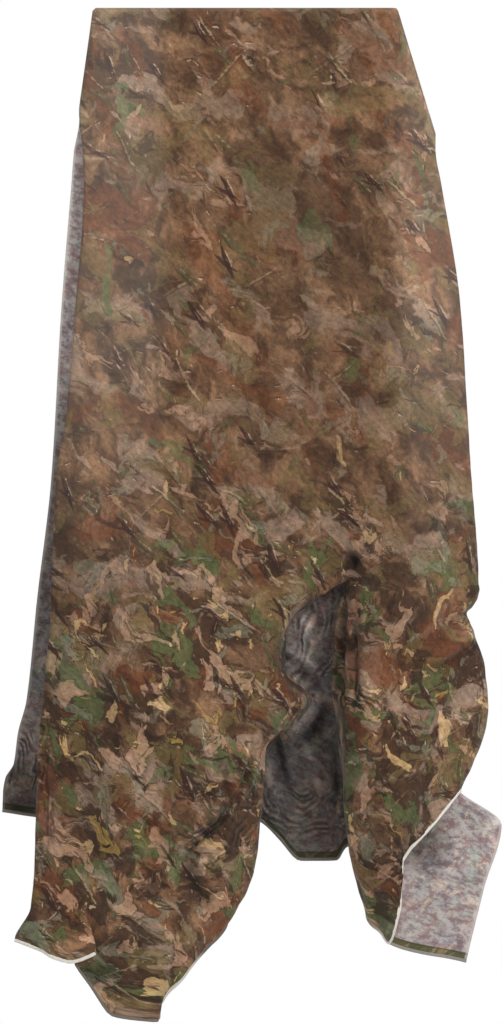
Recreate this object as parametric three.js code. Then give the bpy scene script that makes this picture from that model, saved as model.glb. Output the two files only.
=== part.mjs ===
// Camouflage net: one rectangular printed cloth of fine mesh, hung by its middle over a level line.
// The line isn't part of it. The front layer and the back layer hang from the top fold. The cloth is
// wider than the line, so both ends of the fold droop. The front layer parts low down into two lobes
// that bulge forward and roll in at the parting, and the back layer shows between them.
// Millimetres. +Z is up, +X runs along the fold, and the front layer faces -Y.
// The origin is on top of the fold, at the middle of its level part.

import * as THREE from "three";

// ---- Driving sizes --------------------------------------------------------------------------------

const CLOTH_WIDTH = 800; // selvedge to selvedge
const CLOTH_THICKNESS = 2;
const FOLD_RADIUS = 12; // half of the gap between the layers where they leave the line
const LEVEL_LENGTH = 450; // the part of the fold that lies on the line
const LEFT_DROOP = { length: 151, bend: 3, steepness: 82 }; // steepness in degrees below level
const RIGHT_DROOP = { length: 199, bend: 4, steepness: 73 };
const DROOP_ROUNDING = 60; // how far below a drooping fold the layers take to part
const LEVEL_SETTLING = 260; // how far below the level fold the cloth takes to reach its own hang
const DROOP_SETTLING = 70; // the same at the far ends of the drooping fold

const PARTING = 0.7; // place of the parting across the cloth: 0 is the left selvedge, 1 the right
const PARTING_TOP = -852; // height of its top

// Grid of the cloth, in cells
const LEFT_CELLS = 26; // left selvedge to parting
const RIGHT_CELLS = 12; // parting to right selvedge
const FOLD_CELLS = 3; // top of the fold to the level where the layers hang
const ABOVE_CELLS = 16; // from there to the height of the parting's top
const BELOW_CELLS = 15; // from there to the front hem
const BACK_CELLS = 26; // from the fold to the back hem

// ---- Tables: a row for each section of the cloth, or for each turn of a hem -------------------------

// Places across the cloth of the lines that each section names
const LEFT_LINES = { edge: 0, crest: 0.33, brink: 0.6, tuck: PARTING };
const RIGHT_LINES = { tuck: PARTING, brink: 0.77, crest: 0.88, edge: 1 };
const BACK_LINES = { left: 0, hollow: 0.35, middle: 0.62, right: 1 };

const LEFT_SECTIONS = table("z edgeX edgeY crestX crestY brinkX brinkY tuckX tuckY", [
  [-150, -247, -6, -76, -14, 63, -14, 115, -14],
  [-270, -241, -14, -65, -18, 80, -16, 133, -16],
  [-450, -253, -18, -63, -24, 92, -24, 149, -24],
  [-610, -267, -22, -70, -32, 91, -28, 151, -28],
  [-710, -282, -26, -78, -42, 89, -34, 151, -30],
  [-852, -288, -32, -85, -64, 82, -50, 152, -30],
  [-918, -290, -35, -95, -78, 58, -52, 70, -12],
  [-950, -292, -36, -100, -84, 46, -52, 60, -8],
  [-990, -296, -37, -103, -90, 50, -52, 58, -8],
  [-1036, -300, -38, -105, -96, 84, -56, 98, -20],
  [-1070, -303, -38, -106, -98, 66, -56, 70, -16],
  [-1104, -305, -40, -107, -100, 32, -56, 28, -12],
  [-1185, -309, -40, -110, -102, 27, -56, -18, -14],
  [-1280, -312, -40, -118, -102, 18, -54, -36, -16],
  [-1400, -322, -38, -140, -96, -41, -58, -88, -24],
  [-1520, -300, -40, -165, -86, -130, -60, -150, -40],
]);

const RIGHT_SECTIONS = table("z tuckX tuckY brinkX brinkY crestX crestY edgeX edgeY", [
  [-150, 115, -14, 151, -14, 208, -14, 272, -6],
  [-270, 133, -16, 171, -18, 230, -20, 294, -14],
  [-450, 149, -24, 190, -26, 253, -28, 322, -16],
  [-610, 151, -28, 193, -32, 258, -36, 333, -18],
  [-710, 151, -30, 194, -36, 263, -44, 339, -20],
  [-852, 152, -30, 196, -48, 271, -60, 347, -28],
  [-884, 143, -17, 176, -53, 269, -67, 346, -29],
  [-918, 138, -10, 171, -55, 266, -73, 334, -31],
  [-950, 135, -6, 170, -56, 262, -78, 344, -34],
  [-980, 134, -4, 164, -58, 260, -81, 355, -35],
  [-1040, 136, -2, 153, -60, 255, -86, 362, -36],
  [-1130, 146, -2, 144, -60, 248, -88, 343, -36],
  [-1185, 155, -4, 144, -60, 240, -88, 322, -36],
  [-1280, 178, -14, 158, -58, 228, -84, 300, -40],
  [-1400, 211, -40, 201, -60, 218, -76, 260, -56],
]);

const BACK_SECTIONS = table("z leftX leftY hollowX hollowY middleX middleY rightX rightY", [
  [-150, -248, 6, -66, 14, 74, 14, 270, 6],
  [-200, -256, 10, -66, 16, 80, 16, 284, 8],
  [-270, -262, 14, -65, 20, 85, 18, 294, 12],
  [-450, -277, 20, -65, 28, 90, 24, 312, 16],
  [-710, -293, 26, -76, 34, 90, 28, 326, 22],
  [-888, -314, 26, -86, 38, 88, 20, 330, 26],
  [-1040, -330, 26, -96, 42, 84, 18, 344, 28],
  [-1090, -343, 26, -98, 42, 84, 20, 332, 28],
  [-1135, -349, 25, -99, 42, 84, 21, 317, 28],
  [-1158, -362, 24, -100, 42, 84, 22, 306, 28],
  [-1180, -366, 22, -100, 42, 86, 22, 326, 26],
  [-1227, -368, 22, -100, 42, 90, 22, 386, 14],
  [-1323, -368, 22, -90, 42, 100, 26, 359, 10],
  [-1440, -368, 22, -80, 42, 110, 30, 333, 8],
]);

// A turn of a hem pulls the cloth about up to its "reach" above it
const LEFT_HEM = table("across x y z reach", [
  [0, -343, -38, -1392, 50],
  [0.05, -299, -62, -1405, 80],
  [0.1, -256, -82, -1417, 85],
  [0.14, -218, -92, -1402, 70],
  [0.18, -252, -62, -1416, 80],
  [0.22, -228, -58, -1456, 150],
  [0.27, -193, -70, -1498, 210],
  [0.34, -131, -78, -1503, 230],
  [0.38, -122, -64, -1476, 230],
  [0.44, -90, -62, -1442, 230],
  [0.52, -51, -54, -1396, 230],
  [0.6, -26, -36, -1361, 230],
  [PARTING, -74, -18, -1333, 200],
]);

const RIGHT_HEM = table("across x y z reach", [
  [PARTING, 188, -24, -1325, 200],
  [0.74, 182, -46, -1355, 200],
  [0.78, 197, -62, -1375, 220],
  [0.82, 212, -72, -1391, 230],
  [0.87, 227, -80, -1336, 230],
  [0.91, 233, -78, -1290, 200],
  [0.94, 253, -68, -1245, 160],
  [0.97, 284, -54, -1210, 120],
  [1, 320, -38, -1168, 80],
]);

const BACK_HEM = table("across x y z reach", [
  [0, -366, 22, -1206, 60],
  [0.08, -312, 34, -1215, 150],
  [0.3, -140, 44, -1224, 200],
  [0.47, 0, 34, -1212, 200],
  [0.5, 26, 30, -1223, 200],
  [0.53, 53, 24, -1248, 200],
  [0.565, 84, 18, -1279, 200],
  [0.63, 136, 20, -1279, 200],
  [0.68, 156, 30, -1259, 200],
  [0.76, 190, 40, -1340, 200],
  [0.83, 218, 34, -1407, 200],
  [1, 333, 10, -1431, 100],
]);

// Soft folds that run down a layer: ridges stand out of it and hollows, of negative height, sink in.
// The fold's place across drifts by "drift" from its upper to its lower end.
const FRONT_FOLDS = table("across drift width height upper lower", [
  [0.05, 0.02, 0.03, 5, -200, -1300],
  [0.24, -0.02, 0.05, 9, -60, -900],
  [0.42, 0.02, 0.06, -7, -100, -800],
  [0.84, 0.0, 0.04, 9, -60, -800],
  [0.2, 0.2, 0.05, -16, -1050, -1420],
  [0.44, 0.04, 0.04, 12, -1020, -1400],
  [0.9, -0.06, 0.03, 7, -900, -1260],
]);

const BACK_FOLDS = table("across drift width height upper lower", [
  [0.14, 0.03, 0.05, 12, -120, -1190],
  [0.3, -0.02, 0.06, -10, -200, -1210],
  [0.5, 0.04, 0.05, 12, -300, -1240],
  [0.78, -0.02, 0.05, 14, -150, -1300],
]);

// A table as one list for each named column, with the first column rising
function table(columns, rows) {
  const sorted = [...rows].sort((p, q) => p[0] - q[0]);
  return Object.fromEntries(columns.split(" ").map((name, i) => [name, sorted.map((row) => row[i])]));
}

// ---- Curves ----------------------------------------------------------------------------------------

// 0 before start, 1 past end, and a smooth step between them
function ease(start, end, at) {
  return THREE.MathUtils.smoothstep((at - start) / (end - start), 0, 1);
}

// A smooth curve through the points (places[i], values[i]) that never swings past them
function smoothCurve(places, values, at) {
  const last = places.length - 1;
  const inside = THREE.MathUtils.clamp(at, places[0], places[last]);
  let i = 0;
  while (i < last - 1 && inside > places[i + 1]) i += 1;
  const slope = (k) => (values[k + 1] - values[k]) / (places[k + 1] - places[k]);
  const tangent = (k) => {
    if (k === 0) return slope(0);
    if (k === last) return slope(last - 1);
    const [before, after] = [slope(k - 1), slope(k)];
    return before * after <= 0 ? 0 : (2 * before * after) / (before + after);
  };
  const step = places[i + 1] - places[i];
  const t = (inside - places[i]) / step;
  return (
    values[i] * (1 + 2 * t) * (1 - t) ** 2 +
    tangent(i) * step * t * (1 - t) ** 2 +
    values[i + 1] * t * t * (3 - 2 * t) +
    tangent(i + 1) * step * t * t * (t - 1)
  );
}

// x or y of a panel at a place across it and at a height, from its sections
function readSections({ sections, lines }, axis, across, z) {
  const values = Object.keys(lines).map((name) => smoothCurve(sections.z, sections[name + axis], z));
  return smoothCurve(Object.values(lines), values, across);
}

// One column of a panel's hem table at a place across
function readHem({ hem }, column, across) {
  return smoothCurve(hem.across, hem[column], across);
}

// ---- The cloth -------------------------------------------------------------------------------------

// Point of a drooping end of the fold, a distance past the end of the line: a short bend, then straight
function droopPoint(droop, distance) {
  const angle = THREE.MathUtils.degToRad(droop.steepness);
  const turned = Math.min(distance / droop.bend, angle);
  const straight = Math.max(distance - droop.bend * angle, 0);
  return {
    out: droop.bend * Math.sin(turned) + straight * Math.cos(angle),
    down: droop.bend * (1 - Math.cos(turned)) + straight * Math.sin(angle),
  };
}

// The top fold at a place across: its point, how far below it the layers take to part, and how far
// below it they take to reach their own hang
function foldPoint(across) {
  const alongFold = across * CLOTH_WIDTH - LEFT_DROOP.length; // from the left end of the level part
  const isLeft = alongFold < LEVEL_LENGTH / 2;
  const droop = isLeft ? LEFT_DROOP : RIGHT_DROOP;
  const past = Math.max(isLeft ? -alongFold : alongFold - LEVEL_LENGTH, 0);
  const drooped = ease(0, droop.length / 2, past);
  const { out, down } = droopPoint(droop, past);
  return {
    x: past > 0 ? Math.sign(alongFold) * (LEVEL_LENGTH / 2 + out) : alongFold - LEVEL_LENGTH / 2,
    z: -down,
    rounding: THREE.MathUtils.lerp(FOLD_RADIUS, DROOP_ROUNDING, drooped),
    settling: THREE.MathUtils.lerp(LEVEL_SETTLING, DROOP_SETTLING, past / droop.length),
  };
}

// How far a panel's soft folds move it outwards
function foldHeight({ folds }, across, z) {
  let height = 0;
  folds.across.forEach((place, i) => {
    const down = THREE.MathUtils.clamp((folds.upper[i] - z) / (folds.upper[i] - folds.lower[i]), 0, 1);
    const offset = (across - place - folds.drift[i] * down) / folds.width[i];
    height += folds.height[i] * Math.exp(-offset * offset) * ease(0, 0.3, down);
  });
  return height;
}

const LEFT_PANEL = {
  outwards: -1,
  sections: LEFT_SECTIONS,
  lines: LEFT_LINES,
  hem: LEFT_HEM,
  folds: FRONT_FOLDS,
};
const RIGHT_PANEL = {
  outwards: -1,
  sections: RIGHT_SECTIONS,
  lines: RIGHT_LINES,
  hem: RIGHT_HEM,
  folds: FRONT_FOLDS,
};
const BACK_PANEL = {
  outwards: 1,
  sections: BACK_SECTIONS,
  lines: BACK_LINES,
  hem: BACK_HEM,
  folds: BACK_FOLDS,
};

// Where a panel hangs at a place across and a height, before the turns of its hem pull it about
function hang(panel, across, z) {
  const fold = foldPoint(across);
  const below = Math.max(fold.z - z, 0);
  const settled = ease(0, fold.settling, below);
  const closed = 1 - Math.min(below / fold.rounding, 1);
  const foldY = panel.outwards * FOLD_RADIUS * Math.sqrt(1 - closed * closed);
  const ownX = readSections(panel, "X", across, z);
  const ownY = readSections(panel, "Y", across, z) + panel.outwards * foldHeight(panel, across, z);
  const { lerp } = THREE.MathUtils;
  return new THREE.Vector3(lerp(fold.x, ownX, settled), lerp(foldY, ownY, settled), z);
}

// Point of a panel at a place across and a height
function panelPoint(panel, across, z) {
  const hemZ = readHem(panel, "z", across);
  const pull = 1 - ease(0, readHem(panel, "reach", across), z - hemZ);
  const point = hang(panel, across, z);
  if (pull > 0) {
    const atHem = hang(panel, across, hemZ);
    point.x += (readHem(panel, "x", across) - atHem.x) * pull;
    point.y += (readHem(panel, "y", across) - atHem.y) * pull;
  }
  return point;
}

// Heights of a panel's grid points at a place across, from just below the top fold to the hem
function panelHeights(panel, across) {
  const fold = foldPoint(across);
  const heights = [fold.z];
  for (let k = 1; k <= FOLD_CELLS; k += 1) {
    heights.push(fold.z - FOLD_RADIUS * (1 - Math.cos(((k / FOLD_CELLS) * Math.PI) / 2)));
  }
  const stretches =
    panel === BACK_PANEL
      ? [{ end: readHem(panel, "z", across), cells: BACK_CELLS }]
      : [{ end: PARTING_TOP, cells: ABOVE_CELLS }, { end: readHem(panel, "z", across), cells: BELOW_CELLS }];
  for (const { end, cells } of stretches) {
    const start = heights[heights.length - 1];
    for (let k = 1; k <= cells; k += 1) heights.push(start + ((end - start) * k) / cells);
  }
  return heights.slice(1);
}

// The middle surface of the cloth, as points and four-sided cells whose print side faces out
function clothSurface() {
  const points = [];
  const cells = [];
  const add = (point) => points.push(point) - 1;
  const places = [];
  for (let i = 0; i <= LEFT_CELLS; i += 1) places.push((PARTING * i) / LEFT_CELLS);
  for (let i = 1; i <= RIGHT_CELLS; i += 1) places.push(PARTING + ((1 - PARTING) * i) / RIGHT_CELLS);

  const columnOf = (panel, across) =>
    panelHeights(panel, across).map((z) => add(panelPoint(panel, across, z)));
  const foldRow = places.map((across) => {
    const { x, z } = foldPoint(across);
    return add(new THREE.Vector3(x, 0, z));
  });
  const back = places.map((across, i) => [foldRow[i], ...columnOf(BACK_PANEL, across)]);
  const left = places.slice(0, LEFT_CELLS + 1).map((across, i) => [foldRow[i], ...columnOf(LEFT_PANEL, across)]);
  const right = places
    .slice(LEFT_CELLS)
    .map((across, i) => [foldRow[LEFT_CELLS + i], ...columnOf(RIGHT_PANEL, across)]);

  // Above the parting the two front panels share one column of points
  const shared = FOLD_CELLS + ABOVE_CELLS;
  for (let k = 0; k <= shared; k += 1) right[0][k] = left[LEFT_CELLS][k];

  const join = (columns, facesFront) => {
    for (let i = 0; i + 1 < columns.length; i += 1) {
      for (let k = 0; k + 1 < columns[i].length; k += 1) {
        const cell = [columns[i][k], columns[i][k + 1], columns[i + 1][k + 1], columns[i + 1][k]];
        cells.push(facesFront ? cell : cell.reverse());
      }
    }
  };
  join(left, true);
  join(right, true);
  join(back, false);
  return { points, cells };
}

// Gives a surface its thickness: a print side, a wrong side, and a wall along every free edge
function thicken({ points, cells }, thickness) {
  const normals = points.map(() => new THREE.Vector3());
  for (const [a, b, c, d] of cells) {
    const across = points[c].clone().sub(points[a]);
    const down = points[d].clone().sub(points[b]);
    const normal = across.cross(down).normalize();
    for (const corner of [a, b, c, d]) normals[corner].add(normal);
  }
  const outer = points.map((p, i) => p.clone().addScaledVector(normals[i].normalize(), thickness / 2));
  const inner = points.map((p, i) => p.clone().addScaledVector(normals[i], -thickness / 2));
  const offset = points.length;
  const triangles = [];
  const edges = new Set();
  for (const [a, b, c, d] of cells) {
    triangles.push([a, b, c], [a, c, d]);
    triangles.push([offset + a, offset + c, offset + b], [offset + a, offset + d, offset + c]);
    for (const [from, to] of [[a, b], [b, c], [c, d], [d, a]]) edges.add(from + " " + to);
  }
  for (const edge of edges) {
    const [from, to] = edge.split(" ").map(Number);
    if (edges.has(to + " " + from)) continue;
    triangles.push([to, from, offset + from], [to, offset + from, offset + to]);
  }
  const geometry = new THREE.BufferGeometry();
  const places = [...outer, ...inner].flatMap((p) => [p.x, p.y, p.z]);
  geometry.setAttribute("position", new THREE.Float32BufferAttribute(places, 3));
  geometry.setIndex(triangles.flat());
  geometry.computeVertexNormals();
  return geometry;
}

const clothFinish = new THREE.MeshStandardMaterial({ color: 0x78644c, roughness: 0.9, metalness: 0 });

const net = new THREE.Mesh(thicken(clothSurface(), CLOTH_THICKNESS), clothFinish);
net.name = "camouflage_net";

const group = new THREE.Group();
group.add(net);

export default group;
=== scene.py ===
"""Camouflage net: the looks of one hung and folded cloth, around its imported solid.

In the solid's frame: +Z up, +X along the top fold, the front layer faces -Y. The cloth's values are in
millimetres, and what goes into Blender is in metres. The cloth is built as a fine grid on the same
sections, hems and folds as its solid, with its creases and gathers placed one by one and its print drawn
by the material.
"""
import math

import bpy
import numpy as np
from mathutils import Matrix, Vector


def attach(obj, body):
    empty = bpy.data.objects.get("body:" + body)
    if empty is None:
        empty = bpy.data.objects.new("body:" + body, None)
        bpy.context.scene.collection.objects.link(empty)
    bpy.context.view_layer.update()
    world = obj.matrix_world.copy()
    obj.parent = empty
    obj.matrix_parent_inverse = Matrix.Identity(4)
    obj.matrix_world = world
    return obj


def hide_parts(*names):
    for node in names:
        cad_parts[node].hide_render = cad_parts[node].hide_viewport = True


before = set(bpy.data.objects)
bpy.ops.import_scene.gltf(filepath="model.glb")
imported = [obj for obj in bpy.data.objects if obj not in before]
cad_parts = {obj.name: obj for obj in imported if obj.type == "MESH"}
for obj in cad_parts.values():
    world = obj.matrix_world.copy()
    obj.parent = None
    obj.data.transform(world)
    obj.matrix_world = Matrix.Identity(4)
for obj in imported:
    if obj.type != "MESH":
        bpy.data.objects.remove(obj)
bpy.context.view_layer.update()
MM = 0.001

# ---- The cloth's sizes, in millimetres, as in its solid ---------------------------------------------

CLOTH_WIDTH = 800
FOLD_RADIUS = 12
LEVEL_LENGTH = 450
LEFT_DROOP = {"length": 151, "bend": 3, "steepness": 82}  # steepness in degrees below level
RIGHT_DROOP = {"length": 199, "bend": 4, "steepness": 73}
DROOP_ROUNDING = 60  # how far below a drooping fold the layers take to part
LEVEL_SETTLING = 260  # how far below the level fold the cloth takes to reach its own hang
DROOP_SETTLING = 70  # the same at the far ends of the drooping fold
PARTING = 0.7  # its place across the cloth: 0 is the left selvedge, 1 the right
PARTING_TOP = -852

SHEET_THICKNESS = 0.7
OVERLOCK_WIDTH = 5.5
OVERLOCK_THICKNESS = 1.7
OVERLOCK_STITCH = 2.2  # from one stitch of its thread to the next
TURNED_HEM = 12
STITCH_INSET = 2  # how far the hem's stitches lie inside its turned edge
BINDING = 4  # the pale strip along the wrong side's selvedges
DARK_LINE = 8.5  # where a fine dark line lies across the cloth, down from the top fold
WEAVE_PITCH = 1.5

# Grid of the cloth, in cells: three stretches across, then the stretches down each layer
ACROSS_CELLS = [(0.4, 42), (0.8, 60), (1.0, 18)]  # up to that place across, this many
FOLD_CELLS = 4
ABOVE_CELLS = {"front": 118, "back": 62}  # above the top of the parting
BELOW_CELLS = {"front": 112, "back": 102}

# Level lines along which the print is true to size
LOWEST = -1530.0
LEVEL_STEP = 10


def table(columns, rows):
    """A table as one array for each named column, with the first column rising."""
    ordered = np.array(sorted(rows), float)
    return {name: ordered[:, i] for i, name in enumerate(columns.split())}


# Places across the cloth of the lines that each section names. A section gives x and y of its lines at
# one height
LEFT_LINES = {"edge": 0, "crest": 0.33, "brink": 0.6, "tuck": PARTING}
RIGHT_LINES = {"tuck": PARTING, "brink": 0.77, "crest": 0.88, "edge": 1}
BACK_LINES = {"left": 0, "hollow": 0.35, "middle": 0.62, "right": 1}

LEFT_SECTIONS = table("z edgeX edgeY crestX crestY brinkX brinkY tuckX tuckY", [
    [-150, -247, -6, -76, -14, 63, -14, 115, -14],
    [-270, -241, -14, -65, -18, 80, -16, 133, -16],
    [-450, -253, -18, -63, -24, 92, -24, 149, -24],
    [-610, -267, -22, -70, -32, 91, -28, 151, -28],
    [-710, -282, -26, -78, -42, 89, -34, 151, -30],
    [-852, -288, -32, -85, -64, 82, -50, 152, -30],
    [-918, -290, -35, -95, -78, 58, -52, 70, -12],
    [-950, -292, -36, -100, -84, 46, -52, 60, -8],
    [-990, -296, -37, -103, -90, 50, -52, 58, -8],
    [-1036, -300, -38, -105, -96, 84, -56, 98, -20],
    [-1070, -303, -38, -106, -98, 66, -56, 70, -16],
    [-1104, -305, -40, -107, -100, 32, -56, 28, -12],
    [-1185, -309, -40, -110, -102, 27, -56, -18, -14],
    [-1280, -312, -40, -118, -102, 18, -54, -36, -16],
    [-1400, -322, -38, -140, -96, -41, -58, -88, -24],
    [-1520, -300, -40, -165, -86, -130, -60, -150, -40],
])

RIGHT_SECTIONS = table("z tuckX tuckY brinkX brinkY crestX crestY edgeX edgeY", [
    [-150, 115, -14, 151, -14, 208, -14, 272, -6],
    [-270, 133, -16, 171, -18, 230, -20, 294, -14],
    [-450, 149, -24, 190, -26, 253, -28, 322, -16],
    [-610, 151, -28, 193, -32, 258, -36, 333, -18],
    [-710, 151, -30, 194, -36, 263, -44, 339, -20],
    [-852, 152, -30, 196, -48, 271, -60, 347, -28],
    [-884, 143, -17, 176, -53, 269, -67, 346, -29],
    [-918, 138, -10, 171, -55, 266, -73, 334, -31],
    [-950, 135, -6, 170, -56, 262, -78, 344, -34],
    [-980, 134, -4, 164, -58, 260, -81, 355, -35],
    [-1040, 136, -2, 153, -60, 255, -86, 362, -36],
    [-1130, 146, -2, 144, -60, 248, -88, 343, -36],
    [-1185, 155, -4, 144, -60, 240, -88, 322, -36],
    [-1280, 178, -14, 158, -58, 228, -84, 300, -40],
    [-1400, 211, -40, 201, -60, 218, -76, 260, -56],
])

BACK_SECTIONS = table("z leftX leftY hollowX hollowY middleX middleY rightX rightY", [
    [-150, -248, 6, -66, 14, 74, 14, 270, 6],
    [-200, -256, 10, -66, 16, 80, 16, 284, 8],
    [-270, -262, 14, -65, 20, 85, 18, 294, 12],
    [-450, -277, 20, -65, 28, 90, 24, 312, 16],
    [-710, -293, 26, -76, 34, 90, 28, 326, 22],
    [-888, -314, 26, -86, 38, 88, 20, 330, 26],
    [-1040, -330, 26, -96, 42, 84, 18, 344, 28],
    [-1090, -343, 26, -98, 42, 84, 20, 332, 28],
    [-1135, -349, 25, -99, 42, 84, 21, 317, 28],
    [-1158, -362, 24, -100, 42, 84, 22, 306, 28],
    [-1180, -366, 22, -100, 42, 86, 22, 326, 26],
    [-1227, -368, 22, -100, 42, 90, 22, 386, 14],
    [-1323, -368, 22, -90, 42, 100, 26, 359, 10],
    [-1440, -368, 22, -80, 42, 110, 30, 333, 8],
])

# A turn of a hem pulls the cloth about up to its "reach" above it
LEFT_HEM = table("across x y z reach", [
    [0, -343, -38, -1392, 50],
    [0.05, -299, -62, -1405, 80],
    [0.1, -256, -82, -1417, 85],
    [0.14, -218, -92, -1402, 70],
    [0.18, -252, -62, -1416, 80],
    [0.22, -228, -58, -1456, 150],
    [0.27, -193, -70, -1498, 210],
    [0.34, -131, -78, -1503, 230],
    [0.38, -122, -64, -1476, 230],
    [0.44, -90, -62, -1442, 230],
    [0.52, -51, -54, -1396, 230],
    [0.6, -26, -36, -1361, 230],
    [PARTING, -74, -18, -1333, 200],
])

RIGHT_HEM = table("across x y z reach", [
    [PARTING, 188, -24, -1325, 200],
    [0.74, 182, -46, -1355, 200],
    [0.78, 197, -62, -1375, 220],
    [0.82, 212, -72, -1391, 230],
    [0.87, 227, -80, -1336, 230],
    [0.91, 233, -78, -1290, 200],
    [0.94, 253, -68, -1245, 160],
    [0.97, 284, -54, -1210, 120],
    [1, 320, -38, -1168, 80],
])

BACK_HEM = table("across x y z reach", [
    [0, -366, 22, -1206, 60],
    [0.08, -312, 34, -1215, 150],
    [0.3, -140, 44, -1224, 200],
    [0.47, 0, 34, -1212, 200],
    [0.5, 26, 30, -1223, 200],
    [0.53, 53, 24, -1248, 200],
    [0.565, 84, 18, -1279, 200],
    [0.63, 136, 20, -1279, 200],
    [0.68, 156, 30, -1259, 200],
    [0.76, 190, 40, -1340, 200],
    [0.83, 218, 34, -1407, 200],
    [1, 333, 10, -1431, 100],
])

# Soft folds that run down a layer between two heights, and drift sideways on their way
FRONT_FOLDS = table("across drift width height upper lower", [
    [0.05, 0.02, 0.03, 5, -200, -1300],
    [0.24, -0.02, 0.05, 9, -60, -900],
    [0.42, 0.02, 0.06, -7, -100, -800],
    [0.84, 0.0, 0.04, 9, -60, -800],
    [0.2, 0.2, 0.05, -16, -1050, -1420],
    [0.44, 0.04, 0.04, 12, -1020, -1400],
    [0.9, -0.06, 0.03, 7, -900, -1260],
])

BACK_FOLDS = table("across drift width height upper lower", [
    [0.14, 0.03, 0.05, 12, -120, -1190],
    [0.3, -0.02, 0.06, -10, -200, -1210],
    [0.5, 0.04, 0.05, 12, -300, -1240],
    [0.78, -0.02, 0.05, 14, -150, -1300],
])

# Creases placed one by one: soft ridges, or troughs of negative height, that run from one point of a layer
# to another as seen from the front, bowed sideways at their middle by "bow"
CREASE_COLUMNS = "fromX fromZ toX toZ bow width height"
FRONT_CREASES = table(CREASE_COLUMNS, [
    # Top of the parting, and the wall that rolls in beside it
    [151, -812, 160, -842, 4, 9, -12],
    [75, -825, 110, -873, 3, 4, 4],
    [153, -852, 112, -879, -3, 5, 7],
    [150, -870, 110, -894, -3, 6, -9],
    [140, -894, 138, -1050, 0, 4, 7],
    [148, -894, 146, -1060, 0, 4, -8],
    [157, -897, 153, -1070, 0, 4, 7],
    [166, -900, 161, -1060, 0, 4, -7],
    # Left lobe: drawn in towards the parting
    [-26, -1196, -87, -1258, 0, 9, -12],
    [-52, -1188, -112, -1252, 0, 10, 8],
    [-87, -1258, -45, -1342, -6, 11, -13],
    [-118, -1268, -78, -1356, -6, 12, 9],
    [-140, -1240, -190, -1300, 0, 14, 8],
    [-64, -1095, -36, -1188, 3, 7, 8],
    [-48, -1100, -18, -1190, 4, 5, -6],
    [4, -1088, -26, -1180, 5, 5, 6],
    [20, -1106, -16, -1188, 5, 5, 7],
    [12, -1100, -20, -1186, 5, 4, -6],
    # Left lobe: along its selvedge and above its hem
    [-302, -1038, -304, -1278, 0, 4, 3],
    [-291, -1038, -297, -1293, 0, 4, -3],
    [-272, -1428, -308, -1338, 6, 9, 5],
    [-224, -1410, -232, -1346, 4, 10, 7],
    [-177, -1408, -198, -1376, 0, 9, -8],
    [-184, -1420, -146, -1488, 4, 9, 9],
    # Right lobe
    [346, -866, 332, -894, 0, 5, 6],
    [350, -888, 334, -915, 0, 5, -6],
    [338, -930, 274, -970, 8, 9, 9],
    [326, -956, 268, -990, 6, 10, -7],
    [300, -925, 345, -905, 4, 6, -6],
    [182, -1023, 208, -1062, 0, 4, 3],
    [194, -1020, 220, -1059, 0, 4, -3],
    [184, -1044, 202, -1074, 0, 4, 3],
    [208, -1038, 230, -1071, 0, 4, -3],
    [158, -1263, 190, -1376, 6, 6, 5],
    [250, -1236, 230, -1281, 0, 12, -10],
])

BACK_CREASES = table(CREASE_COLUMNS, [
    # Behind the parting
    [128, -1038, 76, -1106, 6, 9, -12],
    [98, -1046, 58, -1092, 4, 8, 9],
    [82, -1090, 116, -1173, 0, 8, 10],
    [44, -1086, 66, -1170, -5, 8, -9],
    [132, -1098, 140, -1176, 4, 7, -9],
    [30, -1130, 50, -1196, -4, 7, 8],
    [66, -896, 96, -948, 6, 7, 8],
    [84, -884, 114, -930, 5, 6, -8],
    [60, -962, 104, -996, 6, 7, 8],
    [72, -996, 112, -1018, 4, 6, -8],
    # Its two far corners
    [362, -1232, 386, -1218, 0, 5, 5],
    [-362, -1188, -308, -1131, 0, 7, 7],
])

# Gathers: fine folds side by side on one layer. They run as arcs about a point as seen from the front,
# between two radii and two angles in degrees, with one fold to each pitch
GATHERS = [
    # layer      x      z  inner outer  from   to pitch
    ("front", -142, -1136, 96, 176, -84, 22, 11.0),  # left lobe, drawn in towards the parting
    ("front", -2300, -1150, 1988, 2020, -5, 4, 9.0),  # along its selvedge
    ("front", -1850, -975, 1982, 2026, -3, 3, 8.5),  # the wall that rolls in beside the parting
    ("front", 142, -1098, 30, 96, 15, 85, 10.0),  # right lobe
    ("front", 250, -1330, 20, 90, 60, 150, 10.0),
    ("back", 82, -1160, 10, 96, -178, -2, 10.0),  # behind the parting
    ("back", -60, -900, 90, 220, -62, 25, 13.0),
    ("back", -395, -1140, 20, 95, -60, 60, 9.0),  # far left corner
]
# Where the left hem doubles back over itself and the cloth lies smooth: left, right, top, bottom, edge
HEM_TUCK = (-275, -190, -1335, -1440, 15)

GATHER_EDGE = 14  # over how many millimetres they fade out
GATHER_HEIGHT = 1.5
GATHER_WANDER = 0.45  # how far they stray sideways, in folds

# Painted light and shade on the back layer's wrong side, as soft-edged boxes seen from the front
WRONG_SIDE_PAINTED_LIGHT_AND_SHADE = [
    # left  right   top  bottom  edge  tone
    [-500, -240, 200, -560, 160, 1.8],  # behind the left selvedge
    [-500, -250, -600, -2000, 160, 0.54],
    [-500, -250, -1135, -2000, 18, 0.42],
    [-20, 215, -800, -1500, 40, 0.5],  # behind the parting
    [-20, 190, -1075, -1500, 35, 0.6],
    [240, 300, -1215, -1290, 22, 0.45],  # under the right lobe's hem
]

# Painted shade on the print side, in hollows and under the turned hem, and painted light on the lobes
PRINT_SIDE_PAINTED_LIGHT_AND_SHADE = [
    # left  right   top  bottom  edge  tone
    [-300, -40, -1260, -1500, 60, 1.26],
    [185, 360, -960, -1200, 50, 1.2],
    [126, 170, -890, -1150, 16, 0.6],  # the wall that rolls in beside the parting
    [150, 164, -814, -838, 8, 0.5],
    [-110, -50, -1230, -1305, 25, 0.85],
    [-240, -180, -1424, -1450, 12, 0.45],
    [180, 232, -1225, -1290, 25, 0.75],
]
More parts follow.
